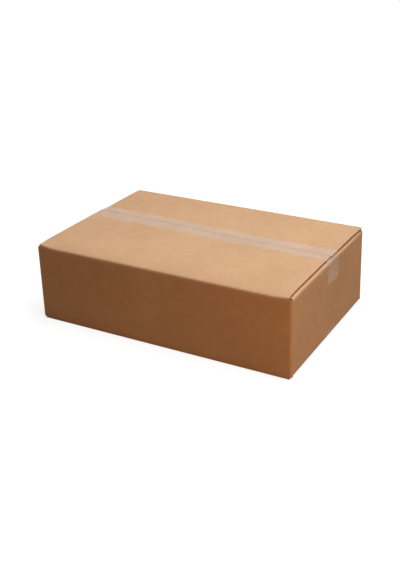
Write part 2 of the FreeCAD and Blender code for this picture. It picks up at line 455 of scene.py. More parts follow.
def settle(points):
    """Moves points as the real box has settled.

    Its panels bow in, its right end leans in and its front top edge droops.
    """
    moved = points.copy()
    x = points[:, 0] / END_X
    y = points[:, 1] / SIDE_Y
    z = (points[:, 2] - MIDDLE_Z) / (LID_Z - MIDDLE_Z)
    inside = [1 - np.clip(np.abs(v), 0, 1) ** 2 for v in (x, y, z)]
    uneven = np.array([0.75 + 0.5 * ripple(p, 150 * MM, 1) for p in points])
    moved[:, 0] -= np.sign(x) * END_BOW * inside[1] * inside[2] * np.abs(x) ** 6 * uneven
    moved[:, 1] -= np.sign(y) * SIDE_BOW * inside[0] * inside[2] * np.abs(y) ** 6 * uneven
    sag = np.where(z > 0, TOP_SAG, BOTTOM_SAG)
    moved[:, 2] -= np.sign(z) * sag * inside[0] * inside[1] * np.abs(z) ** 6 * uneven
    lean = (END_LEAN + END_TWIST * y) * np.clip((z + 1) / 2, 0, 1)
    moved[:, 0] -= lean * np.clip(x, 0, 1)
    front = np.exp(-(points[:, 1] + SIDE_Y) / DROOP_WIDTH)
    near_top = rise(points[:, 2], LID_Z - DROOP_BAND, DROOP_FADE)
    near_end = rise(np.abs(points[:, 0]), END_X - DROOP_BAND, DROOP_FADE)
    kept = np.where(points[:, 0] > 0, RIGHT_DROOP, LEFT_DROOP)
    moved[:, 2] -= DROOP * front * near_top * (1 - (1 - kept) * near_end)
    return moved


def seam_shift(x):
    """The top seam runs out of square: towards the back at the left, to the front at the right."""
    return -SEAM_SKEW * x / END_X


def slip(x, y):
    """How far the top long flaps stand out at the ends, most of all at the back right corner."""
    back = BACK_SLIP + BACK_CORNER_SLIP * rise(y, CORNER_SLIP_FROM, CORNER_SLIP_FADE) ** 2
    share = np.clip((y - TOP_SEAM - seam_shift(x)) / SEAM_GAP + 0.5, 0, 1)
    right = rise(x, END_X - SLIP_BAND, SLIP_FADE)
    left = rise(-x, END_X - SLIP_BAND, SLIP_FADE)
    return (back * share + FRONT_SLIP * (1 - share)) * right + LEFT_SLIP * left


def slacken(points):
    """Lets the right short flap sink in two places, and the posts at three of the corners."""
    x = points[:, 0]
    y = points[:, 1]
    z = points[:, 2]
    under = z < LID_Z - BOARD - NEAR
    height = np.where(under, (z - (LID_Z - SHORT_FOLD)) / SHORT_RADIUS, 0)
    shoulder = rise(x, END_X - SETBACK - SINK_FADE, SINK_FADE)
    sunk = DEEP_SINK * swell(y, DEEP_SINK_Y, DEEP_SINK_WIDTH)
    sunk += SMALL_SINK * swell(y, SMALL_SINK_Y, SMALL_SINK_WIDTH)
    post = (np.abs(x) > END_X - SETBACK + NEAR) & (np.abs(y) > SIDE_Y - SETBACK - NEAR)
    post &= (z < LID_Z - LONG_RADIUS + NEAR / 2) & ((x < 0) | (y > 0))
    tip = rise(z, LID_Z - SHORT_FOLD, SHORT_FOLD - LONG_RADIUS)
    moved = points.copy()
    moved[:, 2] -= sunk * np.clip(height, 0, 1) * shoulder
    moved[:, 2] -= POST_SINK * np.where(post, tip, 0)
    return moved


def check_mesh(mesh):
    """Raises an error if a mesh is empty, open or broken."""
    sides = np.zeros(len(mesh.loops), np.int32)
    mesh.loops.foreach_get("edge_index", sides)
    uses = np.bincount(sides, minlength=len(mesh.edges))
    if len(sides) == 0 or np.any(uses != 2) or mesh.validate():
        raise RuntimeError(f"{mesh.name} is empty, open or broken")


def cut_edge_layers(outer_skin, inner, inward, recess):
    """The four layers between the skins at a cut edge: both liners, and the middle set back."""
    rim = sorted(inward)
    levels = [(LINER / BOARD, 0.0), (RECESS_START / BOARD, 1.0),
              (1 - RECESS_START / BOARD, 1.0), (1 - LINER / BOARD, 0.0)]
    layers = []
    marks = []
    for share, sunk in levels:
        layers.append(np.array([
            outer_skin[v] * (1 - share) + inner[v] * share + inward[v] * recess[v] * sunk
            for v in rim]))
        # Each layer's mark says how far it is painted darker: the middle's own tone and painted
        # shade.
        marks.append(np.full(len(rim), 1.0 if sunk else LINER_EDGE_SHADE))
    return rim, layers, marks


def sheet_faces(quads, border, rim, count):
    """The faces of both skins, and of the strips that join them along the cut edges."""
    faces = [tuple(q) for q in quads]
    faces += [tuple(v + count for v in reversed(q)) for q in quads]
    order = {v: place for place, v in enumerate(rim)}
    for a, b in border:
        chains = []
        for v in (a, b):
            between = [2 * count + layer * len(rim) + order[v] for layer in range(4)]
            chains.append([v] + between + [v + count])
        for i in range(5):
            faces.append((chains[1][i], chains[0][i], chains[0][i + 1], chains[1][i + 1]))
    return faces


def build_carton_mesh():
    """The carton's mesh with its sheet map, its fold marks and its cut-edge marks for the fluted
    middle's tone and painted shade.
    """
    sheet = lay_out_sheet()
    outer = np.array(sheet.outer)
    normal = np.array(sheet.normal)
    inner = outer - normal * BOARD
    pressed = np.array([crush(p, n) for p, n in zip(outer, normal)])
    outer_skin = outer - normal * pressed[:, None]
    count = len(outer)
    border = border_of(sheet.quads)
    inward = inward_of(border, outer, normal)
    recess = {v: recess_depth(outer[v]) for v in inward}
    rim, layers, marks = cut_edge_layers(outer_skin, inner, inward, recess)
    points = settle(slacken(np.concatenate([outer_skin, inner] + layers)))
    mesh = bpy.data.meshes.new("folded_carton")
    mesh.from_pydata(points.tolist(), [], sheet_faces(sheet.quads, border, rim, count))
    flat = np.array(sheet.flat)
    tilt = np.abs(normal[:, 2])
    bend = np.where(in_fold(tilt), 1.0, 0.0)
    corner = 4 * np.abs(normal[:, 0] * normal[:, 1])
    add_sheet_map(mesh, np.concatenate([flat, flat] + [flat[rim]] * 4))
    # Marks the cut edges for painted darkening: the fluted middle's own tone and painted shade.
    add_mark(mesh, "cut_edge_tone_and_shade", np.concatenate([np.zeros(2 * count)] + marks))
    add_mark(mesh, "fold", np.concatenate([np.maximum(bend, corner)] * 2 + [bend[rim]] * 4))
    check_mesh(mesh)
    mesh.shade_smooth()
    mesh.set_sharp_from_angle(angle=math.radians(40))
    return mesh


def add_sheet_map(mesh, spread):
    """A UV map that is the flat sheet itself, in metres."""
    layer = mesh.uv_layers.new(name="sheet")
    corners = np.zeros(len(mesh.loops), np.int32)
    mesh.loops.foreach_get("vertex_index", corners)
    layer.data.foreach_set("uv", spread[corners].astype(np.float32).ravel())


def add_mark(mesh, name, values):
    """A value from 0 to 1 at each vertex, for the materials to read."""
    attribute = mesh.attributes.new(name, "FLOAT", "POINT")
    attribute.data.foreach_set("value", values.astype(np.float32))


class Nodes:
    """Short calls for building a node tree."""

    def __init__(self, tree):
        self.tree = tree
        self.tree.nodes.clear()

    def add(self, kind, **settings):
        node = self.tree.nodes.new(kind)
        for name, value in settings.items():
            setattr(node, name, value)
        return node

    def link(self, source, target):
        self.tree.links.new(source, target)

    def math(self, operation, first, second=None, third=None):
        node = self.add("ShaderNodeMath", operation=operation)
        for socket, value in zip(node.inputs, (first, second, third)):
            self.feed(socket, value)
        return node.outputs[0]

    def vector(self, operation, first, second=None, scale=None):
        node = self.add("ShaderNodeVectorMath", operation=operation)
        self.feed(node.inputs[0], first)
        self.feed(node.inputs[1], second)
        if scale is not None:
            self.feed(node.inputs["Scale"], scale)
        return node.outputs[0]

    def feed(self, socket, value):
        """Links a socket, or sets a plain value."""
        if value is None:
            return
        if isinstance(value, bpy.types.NodeSocket):
            self.link(value, socket)
        else:
            socket.default_value = value

    def noise(self, place, scale, detail=3.0, roughness=0.55):
        node = self.add("ShaderNodeTexNoise")
        self.link(place, node.inputs["Vector"])
        node.inputs["Scale"].default_value = scale
        node.inputs["Detail"].default_value = detail
        node.inputs["Roughness"].default_value = roughness
        return node.outputs["Fac"]

    def ramp(self, value, low, high, start=0.0, end=1.0):
        node = self.add("ShaderNodeMapRange", clamp=True)
        self.link(value, node.inputs["Value"])
        node.inputs["From Min"].default_value = low
        node.inputs["From Max"].default_value = high
        node.inputs["To Min"].default_value = start
        node.inputs["To Max"].default_value = end
        return node.outputs["Result"]

    def mix(self, share, first, second):
        """A blend of two colours, whose sockets are the mix node's 6 and 7, and its output 2."""
        node = self.add("ShaderNodeMix", data_type="RGBA")
        for number, value in ((0, share), (6, first), (7, second)):
            self.feed(node.inputs[number], value)
        return node.outputs[2]


def new_material(name):
    material = bpy.data.materials.new(name)
    material.use_nodes = True
    nodes = Nodes(material.node_tree)
    output = nodes.add("ShaderNodeOutputMaterial")
    shader = nodes.add("ShaderNodeBsdfPrincipled")
    nodes.link(shader.outputs["BSDF"], output.inputs["Surface"])
    return material, nodes, shader


def rgba(colour):
    return (*colour, 1.0)


def board_material(settings):
    """Brown kraft liner with fibres, cloudy tone, faint flutes, and cut edges painted darker for the
    fluted middle's own tone and painted shade in its hollow flutes.
    """
    material, nodes, shader = new_material("kraft_board")
    place = nodes.add("ShaderNodeTexCoord").outputs["Object"]
    sheet = nodes.add("ShaderNodeUVMap", uv_map="sheet").outputs["UV"]
    edge_tone_and_shade = nodes.add("ShaderNodeAttribute", attribute_name="cut_edge_tone_and_shade").outputs["Fac"]
    fold = nodes.add("ShaderNodeAttribute", attribute_name="fold").outputs["Fac"]
    fibres = nodes.add("ShaderNodeMapping")
    nodes.link(sheet, fibres.inputs["Vector"])
    fibres.inputs["Scale"].default_value = (1.0, 5.0, 1.0)
    cloud = nodes.noise(place, 9.0, 3.0)
    mottle = nodes.noise(place, 60.0, 4.0, 0.6)
    strands = nodes.noise(fibres.outputs["Vector"], 260.0, 5.0, 0.7)
    specks = nodes.noise(place, 1400.0, 2.0, 0.5)
    split = nodes.add("ShaderNodeSeparateXYZ")
    nodes.link(sheet, split.inputs["Vector"])
    turns = nodes.math("MULTIPLY", split.outputs["X"], 2 * math.pi / settings.flute_pitch)
    flute = nodes.math("MULTIPLY_ADD", nodes.math("COSINE", turns), 0.5, 0.5)
    pale = rgba(settings.pale_colour)
    dark = rgba(settings.dark_colour)
    tone = nodes.math("ADD", nodes.ramp(cloud, 0.35, 0.65, 0.0, 0.30),
                      nodes.ramp(mottle, 0.3, 0.7, 0.0, 0.25))
    tone = nodes.math("ADD", tone, nodes.ramp(strands, 0.35, 0.7, 0.0, 0.20))
    tone = nodes.math("ADD", tone, nodes.math("MULTIPLY", flute, 0.05))
    colour = nodes.mix(tone, pale, dark)
    speckled = nodes.ramp(specks, 0.66, 0.74, 0.0, 0.35)
    colour = nodes.mix(speckled, colour, rgba(settings.speck_colour))
    worn = nodes.math("MULTIPLY", fold, nodes.ramp(mottle, 0.45, 0.65, 0.0, 0.35))
    colour = nodes.mix(worn, colour, rgba(settings.worn_colour))
    # Cut edges painted darker: partly the fluted middle's own tone, partly painted shade in its
    # hollow flutes.
    colour = nodes.mix(nodes.math("MULTIPLY", edge_tone_and_shade, 0.85), colour, rgba(settings.cut_edge_tone_and_shade_colour))
    nodes.link(colour, shader.inputs["Base Color"])
    nodes.link(nodes.ramp(mottle, 0.2, 0.8, 0.80, 0.92), shader.inputs["Roughness"])
    shader.inputs["Specular IOR Level"].default_value = 0.25
    relief = nodes.math("MULTIPLY_ADD", flute, 0.06, nodes.math("MULTIPLY", strands, 0.05))
    relief = nodes.math("ADD", relief, nodes.math("MULTIPLY", mottle, 0.10))
    bump = nodes.add("ShaderNodeBump")
    bump.inputs["Strength"].default_value = 0.6
    bump.inputs["Distance"].default_value = 1.0 * MM
    nodes.link(relief, bump.inputs["Height"])
    nodes.link(bump.outputs["Normal"], shader.inputs["Normal"])
    return material


def tape_material(settings):
    """Clear film with a light haze, faint streaks along its length, small creases, and painted light
    on the lower part of the top tape's tabs.
    """
    material, nodes, shader = new_material("clear_film")
    place = nodes.add("ShaderNodeTexCoord").outputs["Object"]
    streaks = nodes.add("ShaderNodeMapping")
    nodes.link(place, streaks.inputs["Vector"])
    streaks.inputs["Scale"].default_value = (0.12, 1.0, 0.3)
    cloud = nodes.noise(place, 45.0, 3.0, 0.6)
    drawn = nodes.noise(streaks.outputs["Vector"], 420.0, 3.0, 0.6)
    tone = nodes.math("ADD", nodes.ramp(cloud, 0.35, 0.65, 0.0, 0.6),
                      nodes.ramp(drawn, 0.3, 0.7, 0.0, 0.4))
    colour = nodes.mix(tone, rgba(settings.clear_colour), rgba(settings.hazy_colour))
    level = nodes.add("ShaderNodeSeparateXYZ")
    nodes.link(place, level.inputs["Vector"])
    # Painted light: the film on the lower part of the top tape's tabs is painted paler, as if more
    # lit.
    tab_light = nodes.math("MULTIPLY",
                      nodes.ramp(level.outputs["Z"], LID_Z - TAB_LIGHT_FROM, LID_Z - TAB_LIGHT_TO),
                      nodes.ramp(level.outputs["Z"], MIDDLE_Z - TAB_LIGHT_FADE, MIDDLE_Z))
    colour = nodes.mix(tab_light, colour, rgba(settings.tab_light_colour))
    nodes.link(colour, shader.inputs["Base Color"])
    shader.inputs["Roughness"].default_value = settings.tape_roughness
    shader.inputs["IOR"].default_value = 1.45
    shader.inputs["Alpha"].default_value = settings.film_alpha
    bump = nodes.add("ShaderNodeBump")
    bump.inputs["Strength"].default_value = 0.35
    bump.inputs["Distance"].default_value = 0.4 * MM
    nodes.link(nodes.math("ADD", cloud, nodes.math("MULTIPLY", drawn, 0.3)), bump.inputs["Height"])
    nodes.link(bump.outputs["Normal"], shader.inputs["Normal"])
    return material


def outward_of(before, after):
    """The direction off the box for a route in the X-Z plane that runs towards the end."""
    along = after - before
    return np.array([-along[2], 0.0, along[0]]) / np.linalg.norm(along)


def shoulder_path(flap_end):
    """The short fold from where the tape touches it down to its panel, with outward directions."""
    line = []
    for degrees in range(90, -1, -TAPE_FOLD_STEP):
        inward, upward = bend_shape(SHORT_RADIUS, math.radians(degrees))
        line.append(np.array([END_X - inward, 0.0, upward - SHORT_FOLD]))
    slopes = [(p[2] - flap_end[2]) / max(p[0] - flap_end[0], HAIR) for p in line]
    first = int(np.argmax(slopes))
    path = []
    for i in range(first, len(line), 2):
        before = flap_end if i == first else line[i - 1]
        after = line[min(i + 1, len(line) - 1)]
        path.append((line[i], outward_of(before, after)))
    return path


def tape_path(reach):
    """A tape's route over a face at z = 0, from the middle down to the end of its right tab.

    It leaves the long flaps' end, crosses the step to the short flap's fold and follows it
    down the end panel.
    """
    flap_end = np.array([END_X - SETBACK, 0.0, 0.0])
    shoulder = shoulder_path(flap_end)
    bridge = outward_of(flap_end, shoulder[0][0]) + UP
    path = [(np.array([x, 0.0, 0.0]), UP) for x in divide([0.0, flap_end[0] - MM], TAPE_STEP)]
    path.append((flap_end, bridge / np.linalg.norm(bridge)))
    path += shoulder
    if path[-1][0][2] > -SHORT_FOLD + HAIR:
        path.append((np.array([END_X, 0.0, -SHORT_FOLD]), np.array([1.0, 0.0, 0.0])))
    for depth in divide([SHORT_FOLD, reach], TAPE_TAB_STEP)[1:]:
        path.append((np.array([END_X, 0.0, -depth]), np.array([1.0, 0.0, 0.0])))
    return path


def path_object(name, reach):
    """The whole route as a line of vertices that carry their outward and end directions."""
    half = tape_path(reach)
    flip = np.array([-1.0, 1.0, 1.0])
    whole = [(p * flip, n * flip) for p, n in reversed(half[1:])] + half
    mesh = bpy.data.meshes.new(name)
    mesh.from_pydata([p.tolist() for p, n in whole],
                     [(i, i + 1) for i in range(len(whole) - 1)], [])
    outward = mesh.attributes.new("outward", "FLOAT_VECTOR", "POINT")
    outward.data.foreach_set("vector", np.array([n for p, n in whole], np.float32).ravel())
    pull = np.zeros((len(whole), 3), np.float32)
    tab_end = whole[-1][0][2]
    for row, (place, normal) in enumerate(whole):
        if place[2] < -SHORT_FOLD - NEAR:
            pull[row, 2] = max(0.0, 1 - (place[2] - tab_end) / PULL_FADE) ** 2
    back = mesh.attributes.new("pull", "FLOAT_VECTOR", "POINT")
    back.data.foreach_set("vector", pull.ravel())
    piece = bpy.data.objects.new(name, mesh)
    bpy.context.scene.collection.objects.link(piece)
    return piece


TAPE_INPUTS = (
    ("Width", "NodeSocketFloat"),
    ("Film", "NodeSocketFloat"),
    ("Lift", "NodeSocketFloat"),
    ("Crease height", "NodeSocketFloat"),
    ("Crease scale", "NodeSocketFloat"),
    ("Tooth pitch", "NodeSocketFloat"),
    ("Tooth depth", "NodeSocketFloat"),
    ("Slant", "NodeSocketFloat"),
    ("Columns", "NodeSocketInt"),
    ("Seed", "NodeSocketFloat"),
    ("Finish", "NodeSocketMaterial"),
)


def flat_strip(nodes, given, rows):
    """A grid as wide as the tape, one metre long, with a row for each vertex of the route."""
    grid = nodes.add("GeometryNodeMeshGrid")
    grid.inputs["Size X"].default_value = 1.0
    nodes.link(given["Width"], grid.inputs["Size Y"])
    nodes.link(rows, grid.inputs["Vertices X"])
    nodes.link(given["Columns"], grid.inputs["Vertices Y"])
    return grid.outputs["Mesh"]


def cut_depth(nodes, given, across):
    """How far the cutter's teeth and its slant take the end back, at a place across the tape."""
    half_pitch = nodes.math("MULTIPLY", given["Tooth pitch"], 0.5)
    tooth = nodes.math("DIVIDE", nodes.math("PINGPONG", across, half_pitch), half_pitch)
    side = nodes.math("SUBTRACT", 0.5, nodes.math("DIVIDE", across, given["Width"]))
    slant = nodes.math("MULTIPLY", side, given["Slant"])
    return nodes.math("MULTIPLY_ADD", tooth, given["Tooth depth"], slant)


def height_off_board(nodes, given, target):
    """How far the film stands off the board, with its small creases."""
    crease = nodes.add("ShaderNodeTexNoise", noise_dimensions="4D")
    nodes.link(target, crease.inputs["Vector"])
    nodes.link(given["Crease scale"], crease.inputs["Scale"])
    nodes.link(given["Seed"], crease.inputs["W"])
    return nodes.math("MULTIPLY_ADD", crease.outputs["Fac"], given["Crease height"],
                      given["Lift"])


def lay_strip(nodes, given):
    """The grid laid on the route: each row at its own vertex, and its two ends cut back."""
    route = given["Geometry"]
    size = nodes.add("GeometryNodeAttributeDomainSize")
    nodes.link(route, size.inputs["Geometry"])
    rows = size.outputs["Point Count"]
    position = nodes.add("GeometryNodeInputPosition").outputs[0]
    place = nodes.add("ShaderNodeSeparateXYZ")
    nodes.link(position, place.inputs["Vector"])
    share = nodes.math("ADD", place.outputs["X"], 0.5)
    row = nodes.math("ROUND", nodes.math("MULTIPLY", share, nodes.math("SUBTRACT", rows, 1.0)))
    spot = sample_route(nodes, route, position, row)
    outward = sample_route(nodes, route, named_vector(nodes, "outward"), row)
    pull = sample_route(nodes, route, named_vector(nodes, "pull"), row)
    bite = nodes.vector("SCALE", pull, scale=cut_depth(nodes, given, place.outputs["Y"]))
    sideways = nodes.add("ShaderNodeCombineXYZ")
    nodes.link(place.outputs["Y"], sideways.inputs["Y"])
    target = nodes.vector("ADD", nodes.vector("ADD", spot, sideways.outputs[0]), bite)
    lift = nodes.vector("SCALE", outward, scale=height_off_board(nodes, given, target))
    laid = nodes.add("GeometryNodeSetPosition")
    nodes.link(flat_strip(nodes, given, rows), laid.inputs["Geometry"])
    nodes.link(nodes.vector("ADD", target, lift), laid.inputs["Position"])
    return laid.outputs["Geometry"]


def thicken(nodes, given, strip):
    """The strip as a closed film: its own faces turned down, and the same faces pushed out."""
    film = nodes.add("GeometryNodeExtrudeMesh", mode="FACES")
    nodes.link(strip, film.inputs["Mesh"])
    nodes.link(given["Film"], film.inputs["Offset Scale"])
    film.inputs["Individual"].default_value = False
    under = nodes.add("GeometryNodeFlipFaces")
    nodes.link(strip, under.inputs["Mesh"])
    both = nodes.add("GeometryNodeJoinGeometry")
    nodes.link(under.outputs["Mesh"], both.inputs["Geometry"])
    nodes.link(film.outputs["Mesh"], both.inputs["Geometry"])
    welded = nodes.add("GeometryNodeMergeByDistance")
    nodes.link(both.outputs["Geometry"], welded.inputs["Geometry"])
    welded.inputs["Distance"].default_value = WELD
    return welded.outputs["Geometry"]


def tape_tree():
    """Geometry nodes that lay a strip of film along a line of vertices, with toothed ends."""
    tree = bpy.data.node_groups.new("tape_strip", "GeometryNodeTree")
    tree.interface.new_socket("Geometry", in_out="INPUT", socket_type="NodeSocketGeometry")
    for name, kind in TAPE_INPUTS:
        tree.interface.new_socket(name, in_out="INPUT", socket_type=kind)
    tree.interface.new_socket("Geometry", in_out="OUTPUT", socket_type="NodeSocketGeometry")
    nodes = Nodes(tree)
    given = nodes.add("NodeGroupInput").outputs
    film = thicken(nodes, given, lay_strip(nodes, given))
    real = nodes.add("GeometryNodeRealizeInstances")
    nodes.link(film, real.inputs["Geometry"])
    painted = nodes.add("GeometryNodeSetMaterial")
    nodes.link(real.outputs["Geometry"], painted.inputs["Geometry"])
    nodes.link(given["Finish"], painted.inputs["Material"])
    result = nodes.add("NodeGroupOutput")
    nodes.link(painted.outputs["Geometry"], result.inputs[0])
    return tree


def named_vector(nodes, name):
    node = nodes.add("GeometryNodeInputNamedAttribute", data_type="FLOAT_VECTOR")
    node.inputs["Name"].default_value = name
    return node.outputs["Attribute"]


def sample_route(nodes, geometry, value, row):
    """A vector of the route's own vertices, read at a row."""
    node = nodes.add("GeometryNodeSampleIndex", data_type="FLOAT_VECTOR", domain="POINT")
    nodes.link(geometry, node.inputs["Geometry"])
    nodes.link(value, node.inputs["Value"])
    nodes.link(row, node.inputs["Index"])
    return node.outputs[0]


def set_input(modifier, name, value):
    """Sets a modifier's input by the identifier of its socket."""
    for item in modifier.node_group.interface.items_tree:
        if item.item_type == "SOCKET" and item.in_out == "INPUT" and item.name == name:
            modifier[item.identifier] = value
            return
    raise RuntimeError(f"the tape tree has no input named {name}")


def lay_tape(name, node, reach, seam, level, settings, seed):
    """One strip of tape along a seam, as a plain mesh that follows the settled box."""
    line = path_object(name + "_line", reach)
    modifier = line.modifiers.new("tape", "NODES")
    modifier.node_group = tape_tree()
    for label, value in (
        ("Width", settings.width), ("Film", settings.film), ("Lift", settings.lift),
        ("Crease height", settings.crease_height), ("Crease scale", settings.crease_scale),
        ("Tooth pitch", settings.tooth_pitch), ("Tooth depth", settings.tooth_depth),
        ("Slant", settings.slant if level > 0 else 0.0),
        ("Columns", settings.columns), ("Seed", seed), ("Finish", tape_material(settings)),
    ):
        set_input(modifier, label, value)
    bpy.context.view_layer.update()
    graph = bpy.context.evaluated_depsgraph_get()
    mesh = bpy.data.meshes.new_from_object(line.evaluated_get(graph), depsgraph=graph)
    line.modifiers.remove(modifier)
    bpy.data.objects.remove(line)
    turn = Matrix.Rotation(math.pi if level < 0 else 0.0, 4, "X")
    height = LID_Z if level > 0 else FLOOR_Z
    mesh.transform(Matrix.Translation((0, seam, height)) @ turn)
    points = np.zeros(len(mesh.vertices) * 3)
    mesh.vertices.foreach_get("co", points)
    points = points.reshape(-1, 3)
    if level > 0:
        points[:, 1] -= TAPE_SHIFT + TAPE_SKEW * points[:, 0] / END_X
        on_top = np.clip(1 + (points[:, 2] - LID_Z) / STEP_DOWN, 0, 1)
        points[:, 0] += slip(points[:, 0], points[:, 1]) * on_top
    points = settle(slacken(points))
    mesh.vertices.foreach_set("co", points.ravel())
    mesh.name = name
    check_mesh(mesh)
    mesh.shade_smooth()
    mesh.set_sharp_from_angle(angle=math.radians(50))
    piece = bpy.data.objects.new(name, mesh)
    bpy.context.scene.collection.objects.link(piece)
    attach(piece, ROOT)
    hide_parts(node)
    return piece


class BoardSettings(bpy.types.PropertyGroup):
    """The finish of the corrugated board."""

    flute_pitch: bpy.props.FloatProperty(
        name="Flute pitch", description="Distance from one flute to the next",
        default=7.8 * MM, unit="LENGTH", precision=5)
    pale_colour: bpy.props.FloatVectorProperty(
        name="Pale kraft", description="The liner's lighter tone",
        default=(0.570, 0.355, 0.205), size=3, min=0, max=1, subtype="COLOR")
    dark_colour: bpy.props.FloatVectorProperty(
        name="Dark kraft", description="The liner's darker tone",
        default=(0.455, 0.268, 0.143), size=3, min=0, max=1, subtype="COLOR")
    speck_colour: bpy.props.FloatVectorProperty(
        name="Fibre specks", description="Dark fibres in the liner",
        default=(0.330, 0.175, 0.090), size=3, min=0, max=1, subtype="COLOR")
    worn_colour: bpy.props.FloatVectorProperty(
        name="Worn fold", description="The liner where a fold has rubbed",
        default=(0.610, 0.400, 0.245), size=3, min=0, max=1, subtype="COLOR")
    # The cut edge's colour holds the fluted middle's own tone and painted shade in its hollow flutes.
    cut_edge_tone_and_shade_colour: bpy.props.FloatVectorProperty(
        name="Cut edge", description="The fluted middle seen in a cut edge",
        default=(0.330, 0.160, 0.072), size=3, min=0, max=1, subtype="COLOR")


class TapeSettings(bpy.types.PropertyGroup):
    """The size and finish of the sealing tape."""

    width: bpy.props.FloatProperty(
        name="Width", description="Width of the roll",
        default=TOP_TAPE_HIGH.y - TOP_TAPE_LOW.y, unit="LENGTH", precision=4)
    top_reach: bpy.props.FloatProperty(
        name="Top tabs", description="How far the top tape reaches down each end",
        default=LID_Z - TOP_TAPE_LOW.z, unit="LENGTH", precision=4)
    bottom_reach: bpy.props.FloatProperty(
        name="Bottom tabs", description="How far the bottom tape reaches up each end",
        default=BOTTOM_TAPE_HIGH.z - FLOOR_Z, unit="LENGTH", precision=4)
    film: bpy.props.FloatProperty(
        name="Film", description="Thickness of the film", default=0.045 * MM, precision=6)
    lift: bpy.props.FloatProperty(
        name="Lift", description="Glue between the film and the board",
        default=0.020 * MM, precision=6)
    crease_height: bpy.props.FloatProperty(
        name="Crease height", description="How far small creases stand up",
        default=0.030 * MM, precision=6)
    crease_scale: bpy.props.FloatProperty(
        name="Crease scale", description="How many creases there are to a metre", default=90.0)
    tooth_pitch: bpy.props.FloatProperty(
        name="Tooth pitch", description="Spacing of the cutter's teeth at the tape's ends",
        default=2.4 * MM, unit="LENGTH", precision=5)
    tooth_depth: bpy.props.FloatProperty(
        name="Tooth depth", description="How deep the cutter's teeth bite",
        default=0.9 * MM, unit="LENGTH", precision=5)
    slant: bpy.props.FloatProperty(
        name="Slant", description="How far the top tape's cut runs out of square",
        default=2.2 * MM, unit="LENGTH", precision=5)
    columns: bpy.props.IntProperty(
        name="Columns", description="Vertices across the tape", default=41, min=3)
    clear_colour: bpy.props.FloatVectorProperty(
        name="Clear film", description="The film where it lies close",
        default=(0.66, 0.635, 0.605), size=3, min=0, max=1, subtype="COLOR")
    hazy_colour: bpy.props.FloatVectorProperty(
        name="Hazy film", description="The film where air lies under it",
        default=(0.88, 0.855, 0.82), size=3, min=0, max=1, subtype="COLOR")
    # Painted light: the paler colour painted on the lower part of the top tape's tabs.
    tab_light_colour: bpy.props.FloatVectorProperty(
        name="Airy film", description="The lower part of the top tape's tabs",
        default=(1.0, 0.93, 0.84), size=3, min=0, max=1, subtype="COLOR")
    film_alpha: bpy.props.FloatProperty(
        name="Haze", description="How much each side of the film hides",
        default=0.12, min=0, max=1)
    tape_roughness: bpy.props.FloatProperty(
        name="Gloss", description="Roughness of the film", default=0.28, min=0, max=1)


class StageSettings(bpy.types.PropertyGroup):
    """The floor, the light and the camera."""

    floor_size: bpy.props.FloatProperty(
        name="Floor", description="Side of the floor", default=60.0, unit="LENGTH")
    floor_tone: bpy.props.FloatVectorProperty(
        name="Floor tone", description="The light that the floor throws back up",
        default=(0.30, 0.20, 0.12), size=3, min=0, max=1, subtype="COLOR")
    fill_colour: bpy.props.FloatVectorProperty(
        name="Fill", description="Weak light from all round",
        default=(0.022, 0.015, 0.010), size=3, min=0, max=1, subtype="COLOR")
    key_power: bpy.props.FloatProperty(
        name="Key lamp", description="Power of the large lamp overhead", default=49.5)
    key_colour: bpy.props.FloatVectorProperty(
        name="Key colour", description="Colour of the large lamp overhead",
        default=(0.98, 0.99, 1.0), size=3, min=0, max=1, subtype="COLOR")
    side_power: bpy.props.FloatProperty(
        name="Side lamp", description="Power of the lamp at the right", default=5.2)
    side_colour: bpy.props.FloatVectorProperty(
        name="Side colour", description="Colour of the lamp at the right",
        default=(1.0, 0.65, 0.37), size=3, min=0, max=1, subtype="COLOR")
    front_power: bpy.props.FloatProperty(
        name="Front lamp", description="Power of the weak lamp in front", default=2.05)
    front_colour: bpy.props.FloatVectorProperty(
        name="Front colour", description="Colour of the weak lamp in front",
        default=(1.0, 0.46, 0.15), size=3, min=0, max=1, subtype="COLOR")
    camera_azimuth: bpy.props.FloatProperty(
        name="Azimuth", description="How far the camera has gone round, in degrees",
        default=29.34)
    camera_elevation: bpy.props.FloatProperty(
        name="Elevation", description="How far the camera looks down, in degrees",
        default=25.19)
    camera_roll: bpy.props.FloatProperty(
        name="Roll", description="How far the camera leans, in degrees", default=-1.21)
    camera_distance: bpy.props.FloatProperty(
        name="Distance", description="From the camera to the box's middle",
        default=1.5660, unit="LENGTH")
    camera_across: bpy.props.FloatProperty(
        name="Across", description="How far the camera is moved sideways",
        default=-0.00621, unit="LENGTH", precision=5)
    camera_up: bpy.props.FloatProperty(
        name="Up", description="How far the camera is moved upwards",
        default=-0.02009, unit="LENGTH", precision=5)
    camera_lens: bpy.props.FloatProperty(
        name="Lens", description="Focal length in millimetres for a sensor 36 mm high",
        default=55.67)


class CARTON_OT_fold(bpy.types.Operator):
    """Folds the carton from its sheet of corrugated board"""

    bl_idname = "carton.fold"
    bl_label = "Fold carton"

    def execute(self, context):
        mesh = build_carton_mesh()
        mesh.materials.append(board_material(context.scene.carton_board))
        piece = bpy.data.objects.new("folded_carton", mesh)
        context.scene.collection.objects.link(piece)
        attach(piece, ROOT)
        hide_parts("carton")
        return {"FINISHED"}


class CARTON_OT_tape(bpy.types.Operator):
    """Lays the clear tape along the top and bottom seams"""

    bl_idname = "carton.tape"
    bl_label = "Lay tape"

    def execute(self, context):
        settings = context.scene.carton_tape
        lay_tape("top_tape_strip", "top_tape", settings.top_reach, TOP_SEAM, 1, settings, 3.0)
        lay_tape("bottom_tape_strip", "bottom_tape", settings.bottom_reach, BOTTOM_SEAM, -1,
                 settings, 8.0)
        return {"FINISHED"}


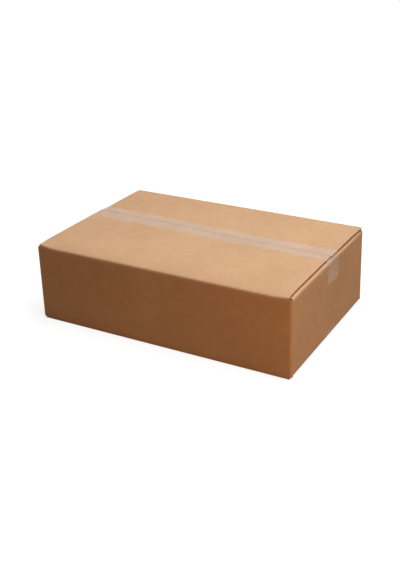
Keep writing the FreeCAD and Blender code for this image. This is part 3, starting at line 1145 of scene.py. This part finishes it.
class CARTON_OT_stage(bpy.types.Operator):
    """Sets up the floor, the soft light and the camera"""

    bl_idname = "carton.stage"
    bl_label = "Set stage"

    def execute(self, context):
        settings = context.scene.carton_stage
        make_floor(settings)
        make_world(settings)
        make_lamps(settings)
        make_camera(settings)
        context.scene.view_settings.view_transform = "Standard"
        return {"FINISHED"}


def seen_directly(nodes):
    """1 for what the camera sees, straight or in gloss or through film, and 0 for light."""
    path = nodes.add("ShaderNodeLightPath")
    seen = nodes.math("MAXIMUM", path.outputs["Is Camera Ray"], path.outputs["Is Glossy Ray"])
    return nodes.math("MAXIMUM", seen, path.outputs["Is Transmission Ray"])


def make_floor(settings):
    """A plain floor: white to the camera with a light shadow, and pale to the box."""
    half = settings.floor_size / 2
    mesh = bpy.data.meshes.new("floor")
    mesh.from_pydata([(-half, -half, 0), (half, -half, 0), (half, half, 0), (-half, half, 0)],
                     [], [(0, 1, 2, 3)])
    floor = bpy.data.objects.new("floor", mesh)
    bpy.context.scene.collection.objects.link(floor)
    material = bpy.data.materials.new("floor_paint")
    material.use_nodes = True
    nodes = Nodes(material.node_tree)
    output = nodes.add("ShaderNodeOutputMaterial")
    paint = nodes.add("ShaderNodeBsdfDiffuse")
    paint.inputs["Color"].default_value = rgba(settings.floor_tone)
    lit = nodes.add("ShaderNodeBsdfDiffuse")
    lit.inputs["Color"].default_value = rgba(FLOOR_GREY)
    glow = nodes.add("ShaderNodeEmission")
    glow.inputs["Color"].default_value = rgba(WHITE)
    spot = nodes.add("ShaderNodeTexCoord").outputs["Object"]
    away = nodes.add("ShaderNodeVectorMath", operation="LENGTH")
    nodes.link(spot, away.inputs[0])
    strength = nodes.ramp(away.outputs["Value"], GLOW_FROM, GLOW_TO, NEAR_GLOW, 1.0)
    nodes.link(strength, glow.inputs["Strength"])
    white = nodes.add("ShaderNodeAddShader")
    nodes.link(lit.outputs[0], white.inputs[0])
    nodes.link(glow.outputs[0], white.inputs[1])
    choice = nodes.add("ShaderNodeMixShader")
    nodes.link(seen_directly(nodes), choice.inputs[0])
    nodes.link(paint.outputs[0], choice.inputs[1])
    nodes.link(white.outputs[0], choice.inputs[2])
    nodes.link(choice.outputs[0], output.inputs["Surface"])
    mesh.materials.append(material)


def make_world(settings):
    """White behind the box, and a weak warm fill from all round."""
    world = bpy.data.worlds.new("studio")
    bpy.context.scene.world = world
    world.use_nodes = True
    nodes = Nodes(world.node_tree)
    output = nodes.add("ShaderNodeOutputWorld")
    fill = nodes.add("ShaderNodeBackground")
    fill.inputs["Color"].default_value = rgba(settings.fill_colour)
    white = nodes.add("ShaderNodeBackground")
    white.inputs["Color"].default_value = rgba(WHITE)
    choice = nodes.add("ShaderNodeMixShader")
    nodes.link(seen_directly(nodes), choice.inputs[0])
    nodes.link(fill.outputs[0], choice.inputs[1])
    nodes.link(white.outputs[0], choice.inputs[2])
    nodes.link(choice.outputs[0], output.inputs["Surface"])


def make_lamp(name, place, target, side, power, colour):
    """A square soft lamp that looks at a point."""
    lamp = bpy.data.lights.new(name, "AREA")
    lamp.shape = "SQUARE"
    lamp.size = side
    lamp.energy = power
    lamp.color = colour
    holder = bpy.data.objects.new(name, lamp)
    bpy.context.scene.collection.objects.link(holder)
    holder.location = place
    aim = Vector(target) - Vector(place)
    holder.rotation_euler = aim.to_track_quat("-Z", "Y").to_euler()


def make_lamps(settings):
    """A large lamp overhead, a weaker one at the right and a small one low in front."""
    middle = (0.0, 0.0, MIDDLE_Z)
    make_lamp("key", KEY_PLACE, middle, KEY_WIDTH, settings.key_power, settings.key_colour)
    make_lamp("side", SIDE_PLACE, middle, SIDE_WIDTH, settings.side_power, settings.side_colour)
    make_lamp("front", FRONT_PLACE, FRONT_AIM, FRONT_WIDTH, settings.front_power,
              settings.front_colour)


def make_camera(settings):
    """The camera at the photograph's place."""
    camera = bpy.data.cameras.new("camera")
    camera.sensor_width = 36.0
    camera.lens = settings.camera_lens
    holder = bpy.data.objects.new("camera", camera)
    bpy.context.scene.collection.objects.link(holder)
    azimuth = math.radians(settings.camera_azimuth)
    elevation = math.radians(settings.camera_elevation)
    roll = math.radians(settings.camera_roll)
    back = Vector((math.sin(azimuth) * math.cos(elevation),
                   -math.cos(azimuth) * math.cos(elevation), math.sin(elevation)))
    level = Vector((math.cos(azimuth), math.sin(azimuth), 0.0))
    upright = back.cross(level)
    across = level * math.cos(roll) + upright * math.sin(roll)
    up = upright * math.cos(roll) - level * math.sin(roll)
    place = Vector(CAMERA_AIM) + back * settings.camera_distance
    place += across * settings.camera_across + up * settings.camera_up
    turn = Matrix((across, up, back)).transposed()
    holder.matrix_world = Matrix.Translation(place) @ turn.to_4x4()
    bpy.context.scene.camera = holder


class CARTON_PT_sidebar(bpy.types.Panel):
    """Lists the carton's pieces and settings"""

    bl_idname = "CARTON_PT_sidebar"
    bl_label = "Taped carton"
    bl_space_type = "VIEW_3D"
    bl_region_type = "UI"
    bl_category = "Carton"

    def draw(self, context):
        layout = self.layout
        for label, group, operator in (
            ("Board", context.scene.carton_board, CARTON_OT_fold),
            ("Tape", context.scene.carton_tape, CARTON_OT_tape),
            ("Stage", context.scene.carton_stage, CARTON_OT_stage),
        ):
            box = layout.box()
            box.label(text=label)
            for name in group.__annotations__:
                box.prop(group, name)
            box.operator(operator.bl_idname)


CLASSES = (BoardSettings, TapeSettings, StageSettings, CARTON_OT_fold, CARTON_OT_tape,
           CARTON_OT_stage, CARTON_PT_sidebar)


def register():
    for item in CLASSES:
        bpy.utils.register_class(item)
    scene = bpy.types.Scene
    scene.carton_board = bpy.props.PointerProperty(type=BoardSettings)
    scene.carton_tape = bpy.props.PointerProperty(type=TapeSettings)
    scene.carton_stage = bpy.props.PointerProperty(type=StageSettings)


def unregister():
    for name in ("carton_board", "carton_tape", "carton_stage"):
        delattr(bpy.types.Scene, name)
    for item in reversed(CLASSES):
        bpy.utils.unregister_class(item)


def main():
    register()
    bpy.ops.carton.fold()
    bpy.ops.carton.tape()
    bpy.ops.carton.stage()


if __name__ == "__main__":
    main()
